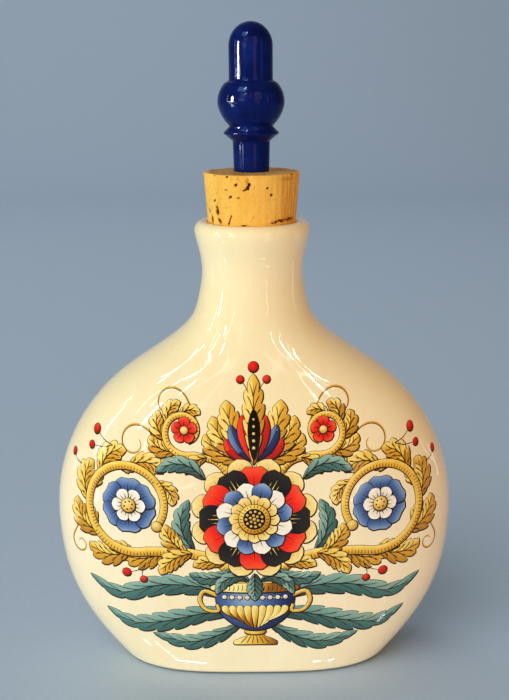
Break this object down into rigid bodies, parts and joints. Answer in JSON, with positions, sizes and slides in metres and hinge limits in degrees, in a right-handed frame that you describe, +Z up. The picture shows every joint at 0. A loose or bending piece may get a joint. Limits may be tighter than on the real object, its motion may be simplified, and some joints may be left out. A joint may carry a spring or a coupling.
{
  "type": "snuff bottle",
  "caption": "Flattened round glazed flask with a short round neck and a foot ring, closed by a tapered cork that carries a turned glossy knob; the stopper pulls straight out.",
  "frame": {"origin": "on the floor under the middle of the foot", "axes": "+Z up along the neck, X across the broad faces, -Y out of the decorated front face"},
  "size_m": [0.0744, 0.031, 0.1184],
  "materials": {
    "glazed_porcelain": "gloss",
    "natural_cork": "matte",
    "blue_gloss": "polished"
  },
  "bodies": {
    "flask": {"flask": "glazed_porcelain"},
    "stopper": {"cork": "natural_cork", "knob": "blue_gloss"}
  },
  "joints": [
    {"name": "stopper_lift", "type": "slide", "parent": "flask", "child": "stopper", "axis": [0, 0, 1], "range_m": [0, 0.035]}
  ]
}
